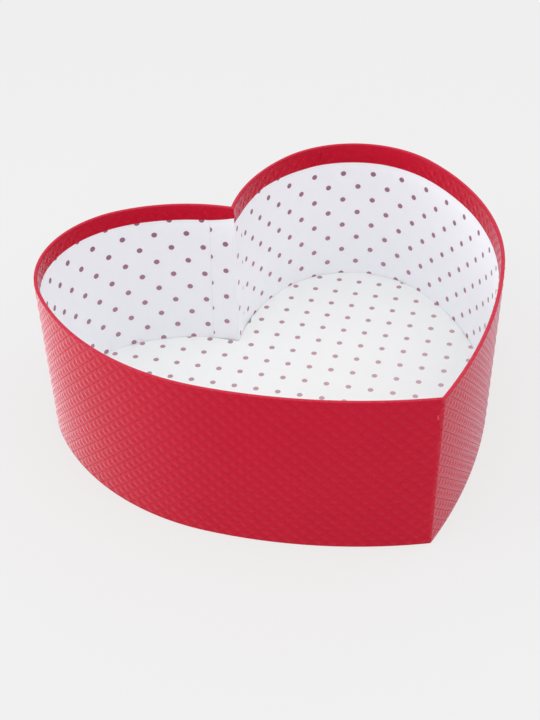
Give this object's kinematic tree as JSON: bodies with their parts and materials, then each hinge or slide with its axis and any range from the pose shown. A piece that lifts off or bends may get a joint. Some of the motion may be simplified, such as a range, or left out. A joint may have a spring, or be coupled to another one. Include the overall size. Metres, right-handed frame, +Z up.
{
  "type": "heart-shaped gift box",
  "caption": "Open heart-shaped rigid gift box without its lid: board walls in embossed red paper, turned in over the rim, with a polka-dot paper lining and floor.",
  "frame": {"origin": "on the table surface, midway between the sides and midway between the tip and the tops of the lobes", "axes": "+Z up through the open top, +X across the lobes, tip of the heart towards -Y"},
  "size_m": [0.25, 0.2244, 0.096],
  "materials": {
    "greyboard": "matt grey chipboard",
    "stay_tape": "matt kraft paper tape",
    "dotted_paper": "smooth white paper with mauve dots",
    "red_wrap": "satin red paper embossed with a fine diamond pattern",
    "base_paper": "plain satin red paper"
  },
  "bodies": {
    "root": {"wall_board": "greyboard", "floor_board": "greyboard", "tip_stay": "stay_tape", "cleft_stay": "stay_tape", "wall_lining": "dotted_paper", "cleft_strip": "dotted_paper", "floor_lining": "dotted_paper", "outer_wrap": "red_wrap", "base_sheet": "base_paper"}
  },
  "joints": []
}
